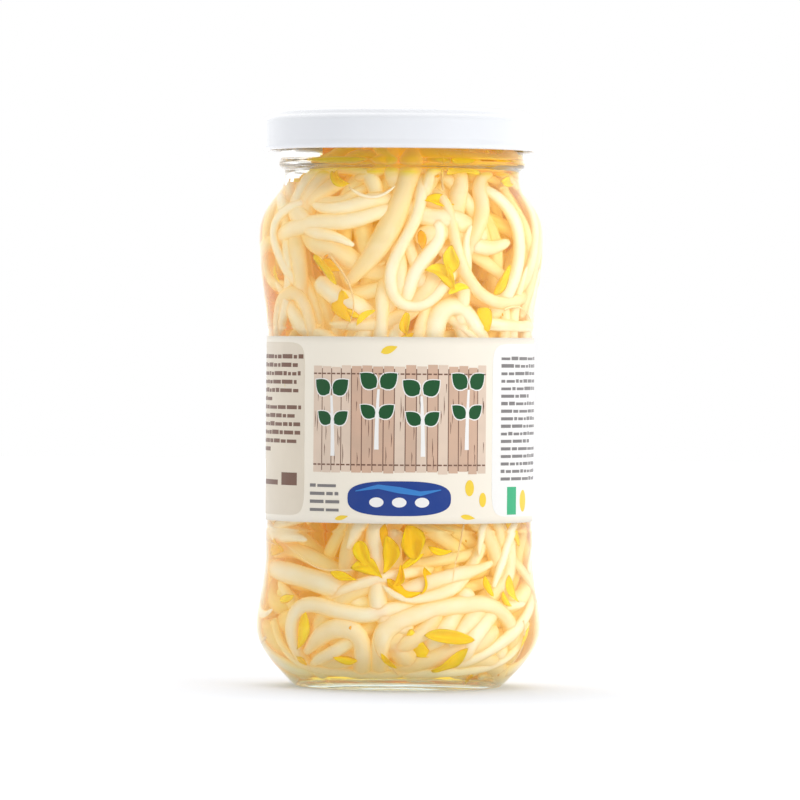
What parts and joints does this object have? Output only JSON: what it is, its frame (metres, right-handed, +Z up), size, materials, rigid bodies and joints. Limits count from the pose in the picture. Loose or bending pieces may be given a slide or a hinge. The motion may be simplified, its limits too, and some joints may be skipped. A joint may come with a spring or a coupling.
{
  "type": "jar of bean sprouts",
  "caption": "Glass jar with a white twist-off lid and a paper label, filled with a dense tangle of pale bean sprouts in golden brine.",
  "frame": {"origin": "centre of the circle that the jar stands on", "axes": "+Z up along the jar's axis, -Y out of the front of the label, +X to the right as the label is read"},
  "size_m": [0.0684, 0.0684, 0.1373],
  "materials": {
    "glass": "polished",
    "lid_enamel": "gloss",
    "seal_compound": "matte",
    "label_paper": "satin",
    "brine": "gloss",
    "sprout": "satin",
    "seed_leaf": "satin"
  },
  "bodies": {
    "jar": {"glass_jar": "glass", "label": "label_paper", "brine": "brine", "sprout_bunch": "sprout", "seed_leaf_01": "seed_leaf", "seed_leaf_02": "seed_leaf", "seed_leaf_03": "seed_leaf", "seed_leaf_04": "seed_leaf", "seed_leaf_05": "seed_leaf", "seed_leaf_06": "seed_leaf", "seed_leaf_07": "seed_leaf", "seed_leaf_08": "seed_leaf", "seed_leaf_09": "seed_leaf", "seed_leaf_10": "seed_leaf"},
    "seal": {"lid_seal": "seal_compound"},
    "lid": {"lid": "lid_enamel"}
  },
  "joints": [
    {"name": "lid_rise", "type": "slide", "parent": "jar", "child": "seal", "axis": [0, 0, 1], "range_m": [0, 0.00124]},
    {"name": "lid_turn", "type": "hinge", "parent": "seal", "child": "lid", "pos_m": [0, 0, 0.132], "axis": [0, 0, 1], "range_deg": [0, 74]}
  ],
  "couplings": [
    {"joint": "lid_rise", "follows": "lid_turn", "m_per_rad": 0.00095493}
  ]
}
